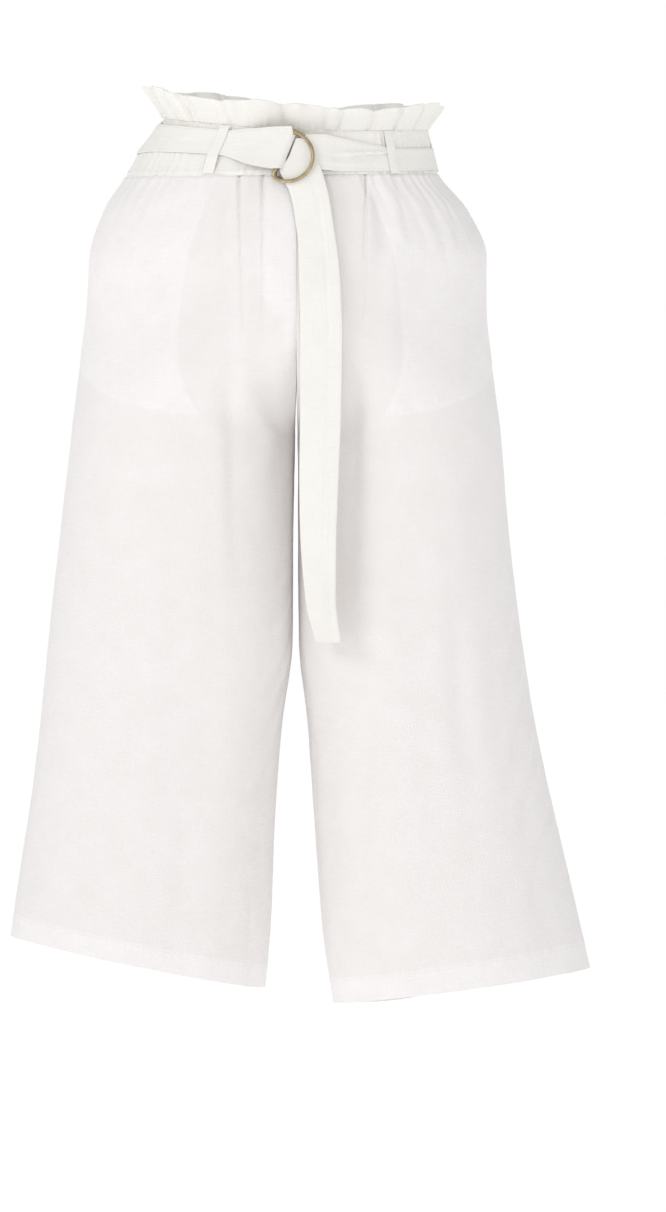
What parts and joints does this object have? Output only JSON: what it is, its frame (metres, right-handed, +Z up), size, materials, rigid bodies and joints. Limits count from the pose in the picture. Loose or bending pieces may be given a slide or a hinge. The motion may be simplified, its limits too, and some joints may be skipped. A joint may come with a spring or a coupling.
{
  "type": "paper-bag waist culottes",
  "caption": "Wide cropped trousers in thin white linen with a gathered paper-bag waist, a belt closed by paired D-rings, side pockets and turned hems, hollow as worn.",
  "frame": {"origin": "middle of the waist hollow, level with the middle of the waist casing at the centre front", "axes": "+Z up out of the waist, -Y the way the wearer faces, -X the wearer's right"},
  "size_m": [0.581, 0.2582, 0.9212],
  "materials": {
    "linen": "thin white linen, plain weave, matte",
    "brass": "antique brass, satin"
  },
  "bodies": {
    "root": {"front_right": "linen", "front_left": "linen", "back_right": "linen", "back_left": "linen", "pocket_bag_right": "linen", "pocket_bag_left": "linen", "hem_right": "linen", "hem_left": "linen", "fly_facing": "linen", "waist_casing": "linen", "frill": "linen", "belt": "linen", "belt_tail": "linen", "belt_loop_1": "linen", "belt_loop_2": "linen", "belt_loop_3": "linen", "belt_loop_4": "linen", "belt_loop_5": "linen", "d_ring_upper": "brass", "d_ring_lower": "brass"}
  },
  "joints": []
}
